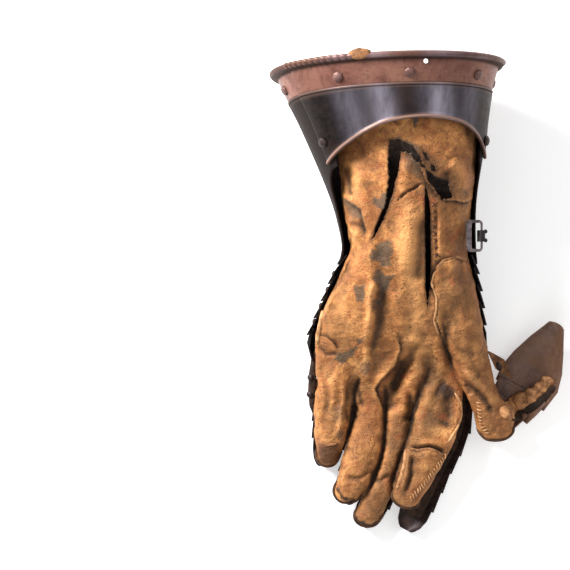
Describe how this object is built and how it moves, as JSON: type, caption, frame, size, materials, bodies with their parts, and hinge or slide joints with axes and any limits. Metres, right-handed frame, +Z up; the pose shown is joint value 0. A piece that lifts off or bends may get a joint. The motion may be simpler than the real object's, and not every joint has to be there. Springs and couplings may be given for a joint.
{
  "type": "armoured gauntlet",
  "caption": "Left-hand armoured gauntlet: flared steel cuff, wrist lames, scalloped knuckle plate and finger scales over a worn leather glove, lying palm up.",
  "frame": {"origin": "middle of the bounding box, on the surface that the gauntlet lies on", "axes": "+Y from the fingers to the mouth of the cuff, +X towards the thumb's side, +Z up out of the palm"},
  "size_m": [0.2072, 0.3376, 0.1345],
  "materials": {
    "blackened_steel": "satin",
    "browned_steel": "satin",
    "buckle_steel": "satin",
    "strap_leather": "matte",
    "buff_leather": "matte"
  },
  "bodies": {
    "gauntlet": {"outer_cuff_plate": "blackened_steel", "inner_cuff_plate": "blackened_steel", "band_rivet_1": "blackened_steel", "band_rivet_2": "blackened_steel", "band_rivet_3": "blackened_steel", "band_rivet_4": "blackened_steel", "band_rivet_5": "blackened_steel", "band_rivet_6": "blackened_steel", "band_rivet_7": "blackened_steel", "band_rivet_8": "blackened_steel", "band_rivet_9": "blackened_steel", "seam_rivet_thumb_side": "blackened_steel", "seam_rivet_little_side": "blackened_steel", "wrist_lame_1": "blackened_steel", "wrist_lame_2": "blackened_steel", "wrist_lame_3": "blackened_steel", "wrist_lame_4": "blackened_steel", "knuckle_plate": "browned_steel", "little_scale_1": "browned_steel", "little_scale_2": "browned_steel", "little_scale_3": "browned_steel", "little_scale_4": "browned_steel", "little_tip_plate": "browned_steel", "ring_scale_1": "browned_steel", "ring_scale_2": "browned_steel", "ring_scale_3": "browned_steel", "ring_scale_4": "browned_steel", "ring_scale_5": "browned_steel", "ring_scale_6": "browned_steel", "ring_tip_plate": "browned_steel", "middle_scale_1": "browned_steel", "middle_scale_2": "browned_steel", "middle_scale_3": "browned_steel", "middle_scale_4": "browned_steel", "middle_scale_5": "browned_steel", "middle_scale_6": "browned_steel", "middle_scale_7": "browned_steel", "middle_tip_plate": "browned_steel", "index_scale_1": "browned_steel", "index_scale_2": "browned_steel", "index_scale_3": "browned_steel", "index_scale_4": "browned_steel", "index_scale_5": "browned_steel", "index_scale_6": "browned_steel", "index_scale_7": "browned_steel", "index_tip_plate": "browned_steel", "thumb_leaf_plate": "browned_steel", "thumb_lame": "browned_steel", "thumb_tip_plate": "browned_steel", "index_strap": "strap_leather", "thumb_tab": "strap_leather", "glove_hand": "buff_leather", "glove_knuckles": "buff_leather", "glove_thumb": "buff_leather", "glove_index": "buff_leather", "glove_middle": "buff_leather", "glove_ring": "buff_leather", "glove_little": "buff_leather", "buckle_hasp": "buckle_steel"},
    "buckle": {"buckle_frame": "buckle_steel"}
  },
  "joints": [
    {"name": "buckle_swing", "type": "hinge", "parent": "gauntlet", "child": "buckle", "pos_m": [0.04445, 0.04044, 0.07455], "axis": [0, 1, 0], "range_deg": [0, 160]}
  ]
}
